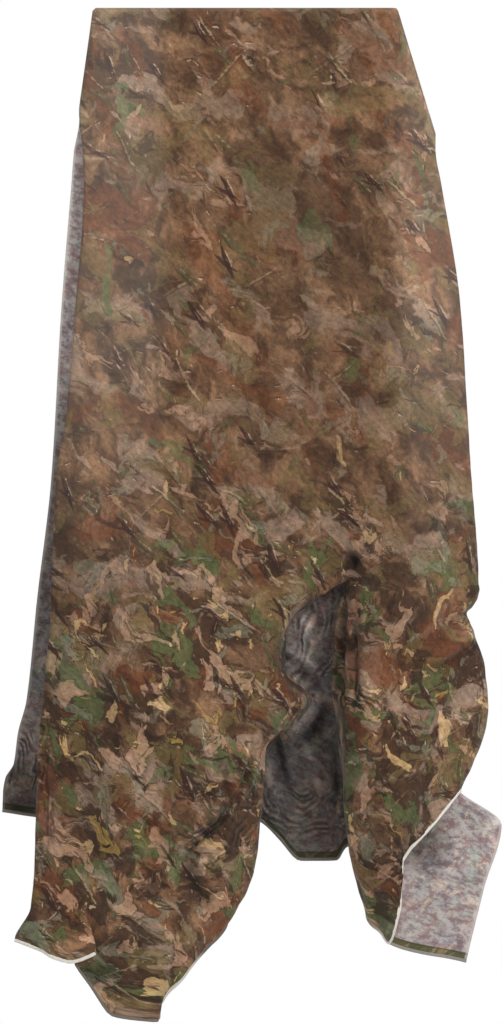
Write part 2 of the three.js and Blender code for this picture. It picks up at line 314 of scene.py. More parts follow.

# Painted light and shade of the creases: how much lighter a ridge is, and darker a trough, for each
# millimetre of a crease's height
CREASE_SHADE = 0.05
CREASE_SHADE_RANGE = (0.4, 1.3)
# Painted shade: the front layer's wrong side is darkened all over, and the print side below the middle
FRONT_WRONG_SIDE_PAINTED_SHADE = 0.5  # the wrong side of the front layer lies in the dark between the layers
LOW_PAINTED_SHADE = 0.9  # of the print side, below the middle of the cloth

# Fine unevenness of the whole cloth: ripples of one wavelength, with crests within "spread" of upright
RIPPLES = table("wavelength height spread", [
    [150, 2.2, 25],
    [70, 1.0, 50],
    [34, 0.45, 90],
])
RIPPLE_WAVES = 14
CALM_ABOVE = -500  # the cloth hangs smoother above this height
CALM = 0.55


# ---- Curves ----------------------------------------------------------------------------------------


def ease(start, end, at):
    """0 before start, 1 past end, and a smooth step between them."""
    t = np.clip((at - start) / (end - start), 0, 1)
    return t * t * (3 - 2 * t)


def smooth_curve(places, values, at):
    """A smooth curve through the points (places, values) that never swings past them, read at an array.
    values has one number for each place, or one row for each place with a number for each reading."""
    places, values = np.asarray(places, float), np.asarray(values, float)
    if values.ndim == 1:
        values = np.repeat(values[:, None], len(at), axis=1)
    steps = np.diff(places)
    slopes = np.diff(values, axis=0) / steps[:, None]
    same_way = slopes[:-1] * slopes[1:] > 0
    total = np.where(same_way, slopes[:-1] + slopes[1:], 1)
    inner = np.where(same_way, 2 * slopes[:-1] * slopes[1:] / total, 0)
    tangents = np.vstack([slopes[:1], inner, slopes[-1:]])
    inside = np.clip(at, places[0], places[-1])
    i = np.clip(np.searchsorted(places, inside) - 1, 0, len(steps) - 1)
    n, step = np.arange(len(at)), steps[i]
    t = (inside - places[i]) / step
    return (
        values[i, n] * (1 + 2 * t) * (1 - t) ** 2
        + tangents[i, n] * step * t * (1 - t) ** 2
        + values[i + 1, n] * t * t * (3 - 2 * t)
        + tangents[i + 1, n] * step * t * t * (t - 1)
    )


def read_sections(panel, axis, across, z):
    """x or y of a panel at places across it and at heights, from its sections."""
    lines = panel["lines"]
    values = [smooth_curve(panel["sections"]["z"], panel["sections"][name + axis], z) for name in lines]
    return smooth_curve(list(lines.values()), values, across)


def read_hem(panel, column, across):
    return smooth_curve(panel["hem"]["across"], panel["hem"][column], across)


# ---- The hang of the cloth, in millimetres ----------------------------------------------------------


def droop_point(droop, distance):
    """Outwards and down along a drooping end of the fold, past the end of the line."""
    angle = math.radians(droop["steepness"])
    turned = np.minimum(distance / droop["bend"], angle)
    straight = np.maximum(distance - droop["bend"] * angle, 0)
    out = droop["bend"] * np.sin(turned) + straight * math.cos(angle)
    down = droop["bend"] * (1 - np.cos(turned)) + straight * math.sin(angle)
    return out, down


def fold_point(across):
    """The top fold at places across: x, z, and how far below it the layers part and settle."""
    along_fold = across * CLOTH_WIDTH - LEFT_DROOP["length"]
    x = along_fold - LEVEL_LENGTH / 2
    z = np.zeros_like(across)
    rounding = np.full_like(across, FOLD_RADIUS)
    settling = np.full_like(across, LEVEL_SETTLING)
    for side, droop, past in (
        (-1, LEFT_DROOP, -along_fold),
        (1, RIGHT_DROOP, along_fold - LEVEL_LENGTH),
    ):
        out, down = droop_point(droop, np.maximum(past, 0))
        x = np.where(past > 0, side * (LEVEL_LENGTH / 2 + out), x)
        z = np.where(past > 0, -down, z)
        reached = np.maximum(past / droop["length"], 0)
        rounding += (DROOP_ROUNDING - FOLD_RADIUS) * ease(0, 0.5, reached)
        settling += (DROOP_SETTLING - LEVEL_SETTLING) * reached
    return x, z, rounding, settling


def fold_height(folds, across, z):
    """How far a panel's soft folds move it outwards."""
    height = np.zeros_like(z)
    for i, place in enumerate(folds["across"]):
        down = np.clip((folds["upper"][i] - z) / (folds["upper"][i] - folds["lower"][i]), 0, 1)
        offset = (across - place - folds["drift"][i] * down) / folds["width"][i]
        height += folds["height"][i] * np.exp(-offset * offset) * ease(0, 0.3, down)
    return height


LEFT_PANEL = {
    "outwards": -1, "sections": LEFT_SECTIONS, "lines": LEFT_LINES, "hem": LEFT_HEM, "folds": FRONT_FOLDS,
}
RIGHT_PANEL = {
    "outwards": -1, "sections": RIGHT_SECTIONS, "lines": RIGHT_LINES, "hem": RIGHT_HEM, "folds": FRONT_FOLDS,
}
BACK_PANEL = {
    "outwards": 1, "sections": BACK_SECTIONS, "lines": BACK_LINES, "hem": BACK_HEM, "folds": BACK_FOLDS,
}


def hang(panel, across, z):
    """x and y of a panel before the turns of its hem pull it about."""
    fold_x, fold_z, rounding, settling = fold_point(across)
    below = np.maximum(fold_z - z, 0)
    settled = ease(0, settling, below)
    closed = 1 - np.minimum(below / rounding, 1)
    fold_y = panel["outwards"] * FOLD_RADIUS * np.sqrt(1 - closed * closed)
    own_x = read_sections(panel, "X", across, z)
    own_y = read_sections(panel, "Y", across, z) + panel["outwards"] * fold_height(panel["folds"], across, z)
    return fold_x + (own_x - fold_x) * settled, fold_y + (own_y - fold_y) * settled


def panel_points(panel, across, z):
    """Points of a panel at places across and heights."""
    hem_z = read_hem(panel, "z", across)
    pull = 1 - ease(0, read_hem(panel, "reach", across), z - hem_z)
    x, y = hang(panel, across, z)
    hem_x, hem_y = hang(panel, across, hem_z)
    x = x + (read_hem(panel, "x", across) - hem_x) * pull
    y = y + (read_hem(panel, "y", across) - hem_y) * pull
    return np.stack([x, y, z], axis=-1)


def panel_grid(panel, places):
    """A panel's grid of points, one row for each place across, from the top fold down to the hem."""
    _, fold_z, _, _ = fold_point(places)
    hem_z = read_hem(panel, "z", places)
    turn = np.linspace(0, math.pi / 2, FOLD_CELLS + 1)
    heights = [fold_z[:, None] - FOLD_RADIUS * (1 - np.cos(turn))]
    side = "back" if panel is BACK_PANEL else "front"
    for end, cells in ((np.full_like(hem_z, PARTING_TOP), ABOVE_CELLS[side]), (hem_z, BELOW_CELLS[side])):
        start = heights[-1][:, -1:]
        share = np.arange(1, cells + 1) / cells
        heights.append(start + (end[:, None] - start) * share)
    z = np.concatenate(heights, axis=1)
    across = np.repeat(places[:, None], z.shape[1], axis=1)
    return panel_points(panel, across.ravel(), z.ravel()).reshape(*z.shape, 3)


# ---- Building the mesh ------------------------------------------------------------------------------


def places_across():
    places = [0.0]
    for end, cells in ACROSS_CELLS:
        places.extend(np.linspace(places[-1], end, cells + 1)[1:])
    places = np.array(places)
    places[np.argmin(abs(places - PARTING))] = PARTING
    return places


def run_lengths(grid):
    """Distance along each column of the grid, from its first point."""
    lengths = np.cumsum(np.linalg.norm(np.diff(grid, axis=1), axis=-1), axis=1)
    return np.pad(lengths, ((0, 0), (1, 0)))


def print_places(panel, places, grid, steady, tuck=None):
    """Where each point of a panel's grid lies across the print: true to size along level lines of the
    cloth as it hangs before its hem is pulled about. The print keeps to the column "steady" as that
    moves left or right, or to the left panel's tuck above the parting. Also gives the last column."""
    levels = np.arange(LOWEST, LEVEL_STEP, LEVEL_STEP)
    across, z = (a.ravel() for a in np.meshgrid(places, levels, indexing="ij"))
    x, y = (a.reshape(len(places), -1) for a in hang(panel, across, z))
    run = np.cumsum(np.hypot(np.diff(x, axis=0, prepend=x[:1]), np.diff(y, axis=0, prepend=y[:1])), axis=0)
    steady_x = x[steady]
    if tuck is not None:
        top = np.searchsorted(levels, PARTING_TOP)
        steady_x = np.where(levels < PARTING_TOP, steady_x + tuck[top] - steady_x[top], tuck)
    on_print = steady_x + run - run[steady]
    rows = [np.interp(column[:, 2], levels, values) for column, values in zip(grid, on_print)]
    return np.stack(rows), on_print[-1]


def run_from_crest(z):
    """How far the cloth runs down from the level fold's crest to a height z, as a negative number."""
    turned = FOLD_RADIUS * np.arccos(np.clip(1 + z / FOLD_RADIUS, 0, 1))
    return np.minimum(z + FOLD_RADIUS, 0) - turned


def cloth_surface():
    """Points in millimetres, four-sided cells with the print side out, the grids of the three panels, and
    six facts for each point: its place on the flat cloth (2), its place on the print (2), and how far
    off the cut end and the nearer selvedge are."""
    places = places_across()
    parting = int(np.argmin(abs(places - PARTING)))
    crest = int(np.argmin(abs(places - LEFT_LINES["crest"])))
    panels = [
        (LEFT_PANEL, places[: parting + 1], crest),
        (RIGHT_PANEL, places[parting:], 0),
        (BACK_PANEL, places, crest),
    ]
    points, facts, grids, count, tuck = [], [], [], 0, None
    for panel, across, steady in panels:
        grid = panel_grid(panel, across)
        down = run_lengths(grid)
        flat_u = across[:, None] * CLOTH_WIDTH + 0 * down
        print_u, last = print_places(panel, across, grid, steady, tuck if panel is RIGHT_PANEL else None)
        tuck = last if panel is LEFT_PANEL else tuck
        columns = [
            flat_u,
            -down * panel["outwards"],
            print_u,
            run_from_crest(grid[..., 2]) * panel["outwards"],
            down[:, -1:] - down,
            np.minimum(flat_u, CLOTH_WIDTH - flat_u),
        ]
        facts.append(np.stack(columns, axis=-1).reshape(-1, len(columns)))
        points.append(grid.reshape(-1, 3))
        grids.append(np.arange(count, count + down.size).reshape(down.shape))
        count += down.size
    left, right, back = grids
    # The layers share the fold's row, and the front panels share a column above the parting
    back[: parting + 1, 0] = left[:, 0]
    back[parting:, 0] = right[:, 0]
    shared = FOLD_CELLS + ABOVE_CELLS["front"] + 1
    right[0, :shared] = left[-1, :shared]
    back[parting, 0] = left[-1, 0]
    cells = []
    for grid, faces_front in ((left, True), (right, True), (back, False)):
        corners = [grid[:-1, :-1], grid[:-1, 1:], grid[1:, 1:], grid[1:, :-1]]
        if not faces_front:
            corners.reverse()
        cells.append(np.stack([c.ravel() for c in corners], axis=1))
    return np.concatenate(points), np.concatenate(cells), (left, right, back), np.concatenate(facts)


def surface_normals(points, cells):
    a, b, c, d = (points[cells[:, k]] for k in range(4))
    face = np.cross(c - a, d - b)
    face /= np.maximum(np.linalg.norm(face, axis=1, keepdims=True), 1e-9)
    normals = np.zeros_like(points)
    for k in range(4):
        np.add.at(normals, cells[:, k], face)
    return normals / np.maximum(np.linalg.norm(normals, axis=1, keepdims=True), 1e-9)


def crease_heights(points, creases):
    """How far each point moves for the creases, by its distance from them as seen from the front."""
    height = np.zeros(len(points))
    for i in range(len(creases["fromX"])):
        start = np.array([creases["fromX"][i], creases["fromZ"][i]])
        run = np.array([creases["toX"][i], creases["toZ"][i]]) - start
        length = np.linalg.norm(run)
        away = points[:, [0, 2]] - start
        t = away @ run / length**2
        side = (away @ np.array([-run[1], run[0]])) / length
        side = side - creases["bow"][i] * 4 * t * (1 - t)
        fade = ease(-0.15, 0.25, t) * (1 - ease(0.75, 1.15, t))
        height += creases["height"][i] * np.exp(-((side / creases["width"][i]) ** 2)) * fade
    return height


def gathers(points, facts, front):
    """For each point, how many folds of the gathers it lies from their middle, and how strong they are.
    The folds wander and come and go along the cloth."""
    count, strength = np.zeros(len(points)), np.zeros(len(points))
    for layer, x, z, inner, outer, start, end, pitch in GATHERS:
        radius = np.hypot(points[:, 0] - x, points[:, 2] - z)
        angle = np.degrees(np.arctan2(points[:, 2] - z, points[:, 0] - x))
        fade = 0.3 * (end - start)
        here = ease(inner, inner + GATHER_EDGE, radius) * (1 - ease(outer - GATHER_EDGE, outer, radius))
        here = here * ease(start, start + fade, angle) * (1 - ease(end - fade, end, angle))
        here = here * (front == (layer == "front"))
        count = np.where(here > strength, radius / pitch, count)
        strength = np.maximum(here, strength)
    wander = ripple(facts[:, 0], facts[:, 1], 55, 90, seed=21)
    swell = ripple(facts[:, 0], facts[:, 1], 48, 90, seed=22)
    return np.stack([count + GATHER_WANDER * wander, strength * ease(-0.9, 0.9, swell)], axis=-1)


def ripple(flat_u, flat_v, wavelength, spread, seed):
    """Smooth unevenness of one wavelength, about 1 at its highest, with crests near upright."""
    draw = np.random.default_rng(seed)
    total = np.zeros_like(flat_u)
    for _ in range(RIPPLE_WAVES):
        angle = math.radians(draw.uniform(-spread, spread))
        size = wavelength * draw.uniform(0.75, 1.35)
        phase = draw.uniform(0, 2 * math.pi)
        total += np.cos((flat_u * math.cos(angle) + flat_v * math.sin(angle)) * 2 * math.pi / size + phase)
    return total / math.sqrt(RIPPLE_WAVES)


def add_unevenness(points, cells, facts, front, folds):
    """The points with creases, gathers and ripples added, and the creases' heights."""
    normals = surface_normals(points, cells)
    flat_u, flat_v = facts[:, 0], facts[:, 1]
    rough = np.zeros(len(points))
    for i, wavelength in enumerate(RIPPLES["wavelength"]):
        rough += RIPPLES["height"][i] * ripple(flat_u, flat_v, wavelength, RIPPLES["spread"][i], seed=i + 3)
    calm = CALM + (1 - CALM) * ease(0, 500, CALM_ABOVE - points[:, 2])
    near_fold = ease(0, 120, np.abs(flat_v))
    # Heights count outwards. A crease's ridge rises towards the front, which is inwards on the back layer
    creased = np.where(front, crease_heights(points, FRONT_CREASES), crease_heights(points, BACK_CREASES))
    gathered = GATHER_HEIGHT * np.cos(2 * math.pi * folds[:, 0]) * folds[:, 1]
    height = rough * calm * near_fold + np.where(front, creased, -creased) + gathered
    height *= 1 - soft_box(points[:, 0], points[:, 2], *HEM_TUCK) * front
    return points + normals * height[:, None], creased


def soft_box(x, z, left, right, top, bottom, edge):
    """1 inside a box as seen from the front, and 0 outside, with soft edges."""
    across = ease(left - edge, left + edge, x) * (1 - ease(right - edge, right + edge, x))
    return across * (1 - ease(top - edge, top + edge, z)) * ease(bottom - edge, bottom + edge, z)


def painted_tones(points, creased, front):
    """Painted light and shade over the cloth: a multiplier for the print side and one for the wrong side,
    painted light on the creases' ridges and painted shade in their troughs, and how far a painted pale veil
    covers the print side, where light comes through the mesh."""
    x, z = points[:, 0], points[:, 2]
    painted_crease_shade = np.clip(1 + CREASE_SHADE * creased, *CREASE_SHADE_RANGE)
    outer = (1 - ease(-150, -100, x)) + ease(205, 260, x)
    veil = np.where(front, outer * ease(-950, -420, z), 0)
    printed = painted_crease_shade * (1 - (1 - LOW_PAINTED_SHADE) * (1 - ease(-1000, -500, z)))
    wrong = np.where(front, FRONT_WRONG_SIDE_PAINTED_SHADE * painted_crease_shade, painted_crease_shade)
    for left, right, top, bottom, edge, tone in PRINT_SIDE_PAINTED_LIGHT_AND_SHADE:
        printed *= 1 - (1 - tone) * soft_box(x, z, left, right, top, bottom, edge) * front
    for left, right, top, bottom, edge, tone in WRONG_SIDE_PAINTED_LIGHT_AND_SHADE:
        wrong *= 1 - (1 - tone) * soft_box(x, z, left, right, top, bottom, edge) * ~front
    return np.stack([printed, wrong, veil, 0 * x], axis=-1)


def make_mesh(name, points, cells):
    mesh = bpy.data.meshes.new(name)
    mesh.vertices.add(len(points))
    mesh.vertices.foreach_set("co", np.asarray(points, np.float32).ravel())
    sides = cells.shape[1]
    mesh.loops.add(cells.size)
    mesh.loops.foreach_set("vertex_index", cells.astype(np.int32).ravel())
    mesh.polygons.add(len(cells))
    mesh.polygons.foreach_set("loop_start", np.arange(0, cells.size, sides, dtype=np.int32))
    mesh.update(calc_edges=True)
    mesh.polygons.foreach_set("use_smooth", np.ones(len(cells), bool))
    return mesh


def add_object(name, data):
    thing = bpy.data.objects.new(name, data)
    bpy.context.scene.collection.objects.link(thing)
    return thing


def add_uv(mesh, name, cells, values):
    layer = mesh.uv_layers.new(name=name)
    layer.data.foreach_set("uv", np.asarray(values[cells.ravel()], np.float32).ravel())


def make_net(print_side, wrong_side):
    points, cells, (left, right, back), facts = cloth_surface()
    front = np.zeros(len(points), bool)
    front[np.concatenate([left.ravel(), right.ravel()])] = True
    folds = gathers(points, facts, front)
    points, creased = add_unevenness(points, cells, facts, front, folds)
    tone = painted_tones(points, creased, front)
    used = np.unique(cells)
    renumber = np.zeros(len(points), int)
    renumber[used] = np.arange(len(used))
    cells, points, facts = renumber[cells], points[used] * MM, facts[used] * MM
    mesh = make_mesh("net_cloth", points, cells)
    add_uv(mesh, "flat", cells, facts[:, 0:2])
    add_uv(mesh, "print", cells, facts[:, 2:4])
    add_uv(mesh, "edges", cells, facts[:, 4:6])
    add_uv(mesh, "tone", cells, tone[used, 0:2])
    add_uv(mesh, "veil", cells, tone[used, 2:4])
    add_uv(mesh, "gathers", cells, folds[used])
    net = add_object("net_cloth", mesh)
    mesh.materials.append(print_side)
    mesh.materials.append(wrong_side)
    shell = net.modifiers.new("thickness", "SOLIDIFY")
    shell.thickness = SHEET_THICKNESS * MM
    shell.offset = 0
    shell.use_even_offset = False
    shell.material_offset = 1
    shell.material_offset_rim = 0
    hems = [renumber[left[:, -1]], renumber[right[:, -1]], renumber[back[:, -1]]]
    return net, [points[hem] for hem in hems]


# ---- Materials --------------------------------------------------------------------------------------


def linear(red, green, blue):
    """An sRGB colour of 0 to 255 as the linear one that shaders take."""
    parts = [c / 255 for c in (red, green, blue)]
    return tuple(c / 12.92 if c <= 0.04045 else ((c + 0.055) / 1.055) ** 2.4 for c in parts) + (1,)


class Graph:
    """Adds shader nodes to a tree and links them, so that a material reads as formulas."""

    def __init__(self, tree):
        self.tree = tree

    def add(self, kind, inputs=None, **settings):
        node = self.tree.nodes.new(kind)
        for name, value in settings.items():
            setattr(node, name, value)
        for name, value in (inputs or {}).items():
            if isinstance(value, bpy.types.NodeSocket):
                self.tree.links.new(value, node.inputs[name])
            else:
                node.inputs[name].default_value = value
        return node

    def math(self, operation, *values):
        return self.add("ShaderNodeMath", dict(enumerate(values)), operation=operation).outputs[0]

    def times(self, first, second):
        return self.math("MULTIPLY", first, second)

    def scaled(self, value, by, plus):
        """A value times by, with plus added."""
        return self.math("MULTIPLY_ADD", value, by, plus)

    def step(self, value, start, end):
        """0 up to start, 1 past end, smooth between. start may be above end."""
        low, high = (start, end) if start < end else (end, start)
        out = self.add(
            "ShaderNodeMapRange",
            {"Value": value, "From Min": low, "From Max": high},
            interpolation_type="SMOOTHSTEP",
        ).outputs[0]
        return out if start < end else self.math("SUBTRACT", 1.0, out)

    def mix(self, factor, first, second, blend="MIX"):
        node = self.add("ShaderNodeMix", data_type="RGBA", blend_type=blend)
        for socket, value in ((node.inputs[0], factor), (node.inputs[6], first), (node.inputs[7], second)):
            if isinstance(value, bpy.types.NodeSocket):
                self.tree.links.new(value, socket)
            else:
                socket.default_value = value
        return node.outputs[2]

    def turned(self, vector, degrees, stretch=(1, 1, 1), offset=0.0):
        """Coordinates turned about the cloth's normal, then stretched and moved."""
        by = {"Vector": vector, "Angle": math.radians(degrees)}
        turn = self.add("ShaderNodeVectorRotate", by, rotation_type="Z_AXIS")
        place = {"Vector": turn.outputs[0], "Scale": stretch, "Location": (offset, -0.7 * offset, 0)}
        return self.add("ShaderNodeMapping", place, vector_type="POINT").outputs[0]

    def noise(self, vector, per_metre, detail=3.0, distortion=0.0, roughness=0.55):
        return self.add(
            "ShaderNodeTexNoise",
            {
                "Vector": vector, "Scale": per_metre, "Detail": detail,
                "Roughness": roughness, "Distortion": distortion,
            },
            noise_dimensions="2D",
        ).outputs["Fac"]

    def grey(self, value):
        """One value as a colour."""
        return self.add("ShaderNodeCombineColor", {0: value, 1: value, 2: value}).outputs[0]

    def shaded(self, colour, value):
        """A colour made that many times as light."""
        return self.mix(1.0, colour, self.grey(value), "MULTIPLY")

    def between(self, value, low, high, start, end):
        """A value of low to high carried over to start to end."""
        limits = {"Value": value, "From Min": low, "From Max": high, "To Min": start, "To Max": end}
        return self.add("ShaderNodeMapRange", limits).outputs[0]

    def bumped(self, height, strength, depth, normal=None):
        """A normal tilted by a height. The depth is in millimetres."""
        inputs = {"Height": height, "Strength": strength, "Distance": depth * MM}
        if normal is not None:
            inputs["Normal"] = normal
        return self.add("ShaderNodeBump", inputs).outputs[0]

    def uv(self, name):
        return self.add("ShaderNodeUVMap", uv_map=name).outputs[0]

    def parts(self, vector):
        return self.add("ShaderNodeSeparateXYZ", {"Vector": vector}).outputs


# The print is a generic woodland camouflage: a mottled ground, patches, and loose strokes over them
GROUND = ((90, 64, 46), (134, 103, 79))
# Its patches, from the lowest to the topmost: patches a metre, their slant in degrees and how much longer
# they are that way, the level of noise above which they show at the top of the cloth and at its hem, how
# softly they end, their strength, their colour
PATCHES = [
    # rate slant long  top   hem   soft  strength colour
    (12.0, -50, 1.6, 0.48, 0.48, 0.10, 0.80, (78, 55, 40)),  # shadow
    (14.0, -38, 1.4, 0.54, 0.53, 0.06, 0.55, (152, 132, 116)),  # dust
    (12.0, -58, 1.6, 0.55, 0.54, 0.06, 0.60, (120, 70, 46)),  # rust
    (17.0, -30, 1.4, 0.56, 0.55, 0.03, 0.55, (112, 98, 62)),  # olive
    (17.0, -62, 1.5, 0.65, 0.59, 0.02, 0.70, (84, 98, 60)),  # pine
    (21.0, -20, 1.3, 0.64, 0.61, 0.03, 0.50, (120, 120, 102)),  # lichen
    (20.0, -48, 1.5, 0.65, 0.595, 0.03, 0.60, (164, 132, 110)),  # clay
    (25.0, -40, 1.7, 0.66, 0.60, 0.02, 0.70, (64, 42, 31)),  # bark
    (27.0, -54, 1.6, 0.72, 0.645, 0.03, 0.60, (180, 152, 112)),  # husk
    (28.0, -44, 1.8, 0.76, 0.69, 0.02, 0.60, (156, 128, 76)),  # straw
]
RIM = 0.014  # how wide a patch's dark outline is, as a range of its noise
RIM_COLOUR = (58, 42, 32)
SHARP = 0.04  # only patches that end more sharply than this have an outline
MIDDLE_LIGHT = 0.115  # the lightness that stays as it is where the print's contrast is raised
SATURATION = 1.08

# Its loose strokes, from the lowest to the topmost. Those of one scatter share their places: cells a
# metre, and the share of cells that hold them. Then the stroke's length and width and how far it lies
# aside, in millimetres, and its slant and the spread of slants, in degrees
SCATTERS = {
    "blades": (11.0, 0.5),
    "crossings": (9.0, 0.4),
    "leaves": (15.0, 0.4),
    "buds": (23.0, 0.3),
    "twigs": (16.0, 0.6),
    "chaff": (43.0, 0.3),
}
STROKES = [
    # scatter   length width aside slant spread strength colour
    ("crossings", 88, 3.6, 2.6, 42, 24, 0.50, (64, 48, 36)),
    ("crossings", 90, 3.8, 0.0, 42, 24, 0.50, (158, 134, 102)),
    ("blades", 78, 3.6, 2.8, -48, 30, 0.60, (58, 42, 32)),
    ("blades", 80, 4.4, 0.0, -48, 30, 0.55, (172, 150, 118)),
    ("leaves", 52, 15.0, 0.0, -56, 60, 0.62, (88, 78, 50)),
    ("leaves", 50, 4.0, 4.6, -56, 60, 0.65, (54, 40, 30)),
    ("leaves", 46, 1.6, 0.0, -56, 60, 0.50, (166, 146, 110)),
    ("buds", 30, 9.0, 0.0, -30, 80, 0.60, (164, 134, 112)),
    ("buds", 28, 2.6, 3.4, -30, 80, 0.70, (66, 46, 36)),
    ("twigs", 38, 3.0, -4.6, -53, 36, 0.60, (186, 162, 140)),
    ("twigs", 62, 8.0, 0.0, -50, 36, 0.90, (56, 31, 25)),
    ("twigs", 44, 6.4, 3.6, -16, 36, 0.85, (58, 33, 26)),
    ("twigs", 30, 1.8, -1.0, -50, 36, 0.40, (136, 104, 82)),
    ("chaff", 15, 3.4, 0.0, -35, 120, 0.65, (44, 31, 25)),
    ("chaff", 11, 2.2, 2.4, -35, 120, 0.60, (188, 168, 146)),
]


def patch_mask(graph, vector, seed, per_metre, slant, long, top, hem, soft, lower):
    """1 on a patch, and 1 on its outline."""
    place = graph.turned(vector, slant, (1 / long, 1, 1), 2.3 * seed)
    noise = graph.noise(place, per_metre, 5.0, 0.5, 0.6)
    level = graph.scaled(lower, hem - top, top)
    above = graph.math("SUBTRACT", noise, level)
    inside = graph.step(above, 0.0, soft)
    outline = graph.step(graph.math("ABSOLUTE", above), RIM, 0.0)
    return inside, outline


class Scatter:
    """Strokes scattered one to a cell, each turned by its cell's own angle."""

    def __init__(self, graph, vector, seed, per_metre, share):
        self.graph = graph
        shift = {0: vector, 1: (3.1 * seed, 1.7 * seed, 0)}
        shifted = graph.add("ShaderNodeVectorMath", shift, operation="ADD").outputs[0]
        cell = graph.add(
            "ShaderNodeTexVoronoi",
            {"Vector": shifted, "Scale": per_metre, "Randomness": 0.9},
            voronoi_dimensions="2D",
        ).outputs
        centre = {0: shifted, 1: cell["Position"]}
        self.local = graph.add("ShaderNodeVectorMath", centre, operation="SUBTRACT").outputs[0]
        self.turn, chance, size = graph.add("ShaderNodeSeparateColor", {"Color": cell["Color"]}).outputs
        self.present = graph.math("LESS_THAN", chance, share)
        self.size = graph.scaled(size, 0.8, 0.55)

    def stroke(self, ragged, length, width, aside, slant, spread):
        """1 on a lens shape with a ragged outline."""
        graph = self.graph
        angle = graph.scaled(self.turn, math.radians(spread), math.radians(slant - spread / 2))
        by = {"Vector": self.local, "Angle": angle}
        turned = graph.add("ShaderNodeVectorRotate", by, rotation_type="Z_AXIS")
        along, side, _ = graph.parts(turned.outputs[0])
        along = graph.math("DIVIDE", along, length / 2 * MM)
        taper = graph.math("SUBTRACT", self.size, graph.times(along, along))
        half = graph.times(taper, width / 2 * MM)
        off = graph.math("ABSOLUTE", graph.math("SUBTRACT", side, aside * MM))
        inside = graph.math("ADD", graph.math("SUBTRACT", half, off), ragged)
        return graph.times(graph.step(inside, -0.0002, 0.0009), self.present)


def warped(graph, vector, per_metre, distance):
    """Coordinates pushed about by noise."""
    wobble = graph.add(
        "ShaderNodeTexNoise", {"Vector": vector, "Scale": per_metre, "Detail": 3.0}, noise_dimensions="2D"
    )
    centred = graph.add(
        "ShaderNodeVectorMath", {0: wobble.outputs["Color"], 1: (0.5, 0.5, 0.5)}, operation="SUBTRACT"
    )
    push = {0: centred.outputs[0], 1: (distance, distance, 0), 2: vector}
    return graph.add("ShaderNodeVectorMath", push, operation="MULTIPLY_ADD").outputs[0]


def camouflage_colour(graph):
    """The print, clearer towards the hems and, on the front, towards the sides."""
    place = graph.uv("print")
    lower = graph.step(graph.math("ABSOLUTE", graph.parts(place)[1]), 0.55, 1.0)
    clear = graph.math("MAXIMUM", lower, graph.times(graph.parts(graph.uv("veil"))[0], 0.7))
    moved = warped(graph, place, 22.0, 0.03)
    mottle = graph.step(graph.noise(graph.turned(moved, -50, (0.7, 1, 1)), 24.0, 5.0, 0.4, 0.65), 0.3, 0.7)
    colour = graph.mix(mottle, linear(*GROUND[0]), linear(*GROUND[1]))
    for seed, (per_metre, slant, long, top, hem, soft, strength, paint) in enumerate(PATCHES):
        inside, outline = patch_mask(graph, moved, seed, per_metre, slant, long, top, hem, soft, lower)
        dense = graph.scaled(clear, 0.4 * strength, 0.6 * strength)
        colour = graph.mix(graph.times(inside, dense), colour, linear(*paint))
        if soft < SHARP:
            edge = graph.times(outline, graph.scaled(clear, 0.24, 0.18))
            colour = graph.mix(edge, colour, linear(*RIM_COLOUR))

    light = graph.add("ShaderNodeRGBToBW", {"Color": colour}).outputs[0]
    contrast = graph.scaled(clear, 0.07, 0.45)
    gain = graph.math("POWER", graph.math("DIVIDE", light, MIDDLE_LIGHT), contrast)
    richer = {"Saturation": SATURATION, "Color": graph.shaded(colour, gain)}
    colour = graph.add("ShaderNodeHueSaturation", richer).outputs[0]

    bent = warped(graph, place, 12.0, 0.02)
    fine = graph.noise(graph.turned(place, -45, (0.6, 1, 1)), 150.0, 4.0, 0.0, 0.75)
    ragged = graph.between(fine, 0.3, 0.7, -0.0022, 0.0012)
    clusters = graph.noise(bent, 7.0, 2.0)
    thick = graph.step(graph.scaled(lower, 0.04, clusters), 0.42, 0.56)
    scatters = {
        name: Scatter(graph, bent, seed, *facts) for seed, (name, facts) in enumerate(SCATTERS.items())
    }
    for scatter, length, width, aside, slant, spread, strength, paint in STROKES:
        mask = scatters[scatter].stroke(ragged, length, width, aside, slant, spread)
        shown = graph.times(mask, graph.times(thick, strength))
        colour = graph.mix(shown, colour, linear(*paint))

    broad = graph.between(graph.noise(place, 5.0, 2.0), 0.3, 0.7, 0.82, 1.12)
    shade = graph.times(graph.between(fine, 0.3, 0.7, 0.64, 1.28), broad)
    return graph.shaded(colour, shade)


# Colours of the cloth besides its print
HAZE = ((156, 138, 148), (222, 222, 221))  # of the thread that shows on the wrong side
HEM_STRIP = (106, 116, 80)
BINDING_COLOUR = (196, 190, 184)
# painted light: the pale veil where light comes through the mesh
VEIL_OF_LIGHT = (164, 162, 156)
STITCHING = (70, 62, 48)
DARK_LINE_COLOUR = (60, 50, 42)


def mesh_weave(graph, pitch):
    """Height of the fine net: threads two ways, low in its holes."""
    across, down, _ = graph.parts(graph.uv("flat"))
    waves = []
    for axis in (across, down):
        turn = graph.times(axis, 2 * math.pi / pitch)
        waves.append(graph.scaled(graph.math("COSINE", turn), 0.5, 0.5))
    return graph.math("MAXIMUM", *waves)


def new_material(name):
    material = bpy.data.materials.new(name)
    material.use_nodes = True
    shader = material.node_tree.nodes["Principled BSDF"]
    return material, Graph(material.node_tree), shader


